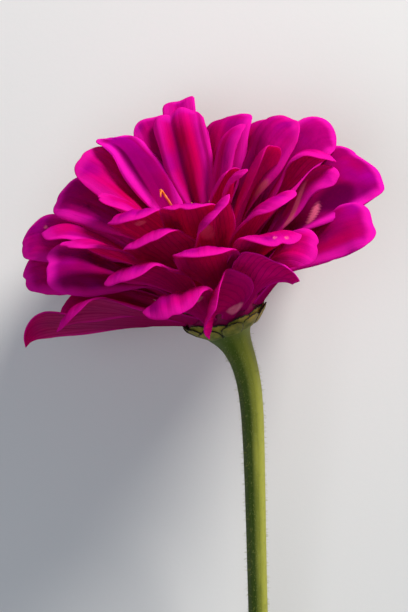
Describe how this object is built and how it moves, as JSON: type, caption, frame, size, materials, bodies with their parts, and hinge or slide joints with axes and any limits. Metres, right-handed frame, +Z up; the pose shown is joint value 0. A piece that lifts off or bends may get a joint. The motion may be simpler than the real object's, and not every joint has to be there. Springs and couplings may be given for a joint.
{
  "type": "cut zinnia flower",
  "caption": "Cut zinnia flower with a long bare stem: a rounded double head of layered petals over scaly bracts, lying on its side.",
  "frame": {"origin": "middle of the flower's footprint, on the surface it lies on", "axes": "+Z up from the surface, +Y along the stem towards the flower head, +X to the right of the head"},
  "size_m": [0.0772, 0.2018, 0.0784],
  "materials": {
    "petal": "soft satin petal tissue, deep magenta with lighter rims and fine lengthwise veins",
    "stem": "green herbaceous stem with fine ridges and short pale hairs",
    "bract": "dry papery green scales with dark fringed margins",
    "disc": "small maroon scales and orange florets"
  },
  "bodies": {
    "root": {"stem": "stem", "bracts_outer": "bract", "bracts_inner": "bract", "disc_florets": "disc", "petal_outer_01": "petal", "petal_outer_02": "petal", "petal_outer_03": "petal", "petal_outer_04": "petal", "petal_outer_05": "petal", "petal_outer_06": "petal", "petal_outer_07": "petal", "petal_outer_08": "petal", "petal_outer_09": "petal", "petal_outer_10": "petal", "petal_outer_11": "petal", "petal_outer_12": "petal", "petal_outer_13": "petal", "petal_lower_01": "petal", "petal_lower_02": "petal", "petal_lower_03": "petal", "petal_lower_04": "petal", "petal_lower_05": "petal", "petal_lower_06": "petal", "petal_lower_07": "petal", "petal_lower_08": "petal", "petal_lower_09": "petal", "petal_lower_10": "petal", "petal_lower_11": "petal", "petal_lower_12": "petal", "petal_lower_13": "petal", "petal_middle_01": "petal", "petal_middle_02": "petal", "petal_middle_03": "petal", "petal_middle_04": "petal", "petal_middle_05": "petal", "petal_middle_06": "petal", "petal_middle_07": "petal", "petal_middle_08": "petal", "petal_middle_09": "petal", "petal_middle_10": "petal", "petal_middle_11": "petal", "petal_middle_12": "petal", "petal_middle_13": "petal", "petal_upper_01": "petal", "petal_upper_02": "petal", "petal_upper_03": "petal", "petal_upper_04": "petal", "petal_upper_05": "petal", "petal_upper_06": "petal", "petal_upper_07": "petal", "petal_upper_08": "petal", "petal_upper_09": "petal", "petal_upper_10": "petal", "petal_upper_11": "petal", "petal_inner_01": "petal", "petal_inner_02": "petal", "petal_inner_03": "petal", "petal_inner_04": "petal", "petal_inner_05": "petal"}
  },
  "joints": []
}
